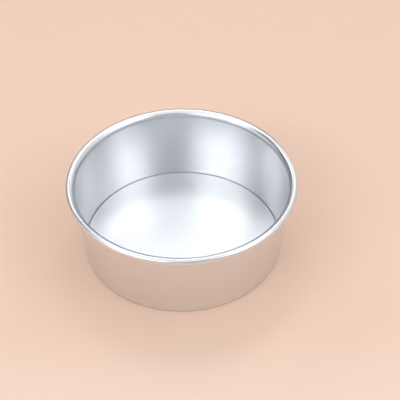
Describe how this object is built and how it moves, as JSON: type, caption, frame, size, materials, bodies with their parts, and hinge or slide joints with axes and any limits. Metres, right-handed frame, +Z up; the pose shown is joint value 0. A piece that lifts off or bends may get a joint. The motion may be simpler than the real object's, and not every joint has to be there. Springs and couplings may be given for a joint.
{
  "type": "cake pan",
  "caption": "Round cake pan with a loose bottom: a tapered aluminium wall ring with a rolled rim, and a flat base that rests on its turned-in seat and lifts out with the cake.",
  "frame": {"origin": "centre of the foot, on the plane of the seat's underside that the pan stands on", "axes": "+Z up along the pan's axis, towards the mouth; +X and +Y are any two square directions, because the pan is round"},
  "size_m": [0.2176, 0.2176, 0.079],
  "materials": {
    "wall_aluminium": "satin, silver anodised",
    "base_aluminium": "satin, silver anodised"
  },
  "bodies": {
    "ring": {"wall_ring": "wall_aluminium"},
    "base": {"loose_base": "base_aluminium"}
  },
  "joints": [
    {"name": "base_lift", "type": "slide", "parent": "ring", "child": "base", "axis": [0, 0, 1], "range_m": [0, 0.085]}
  ]
}
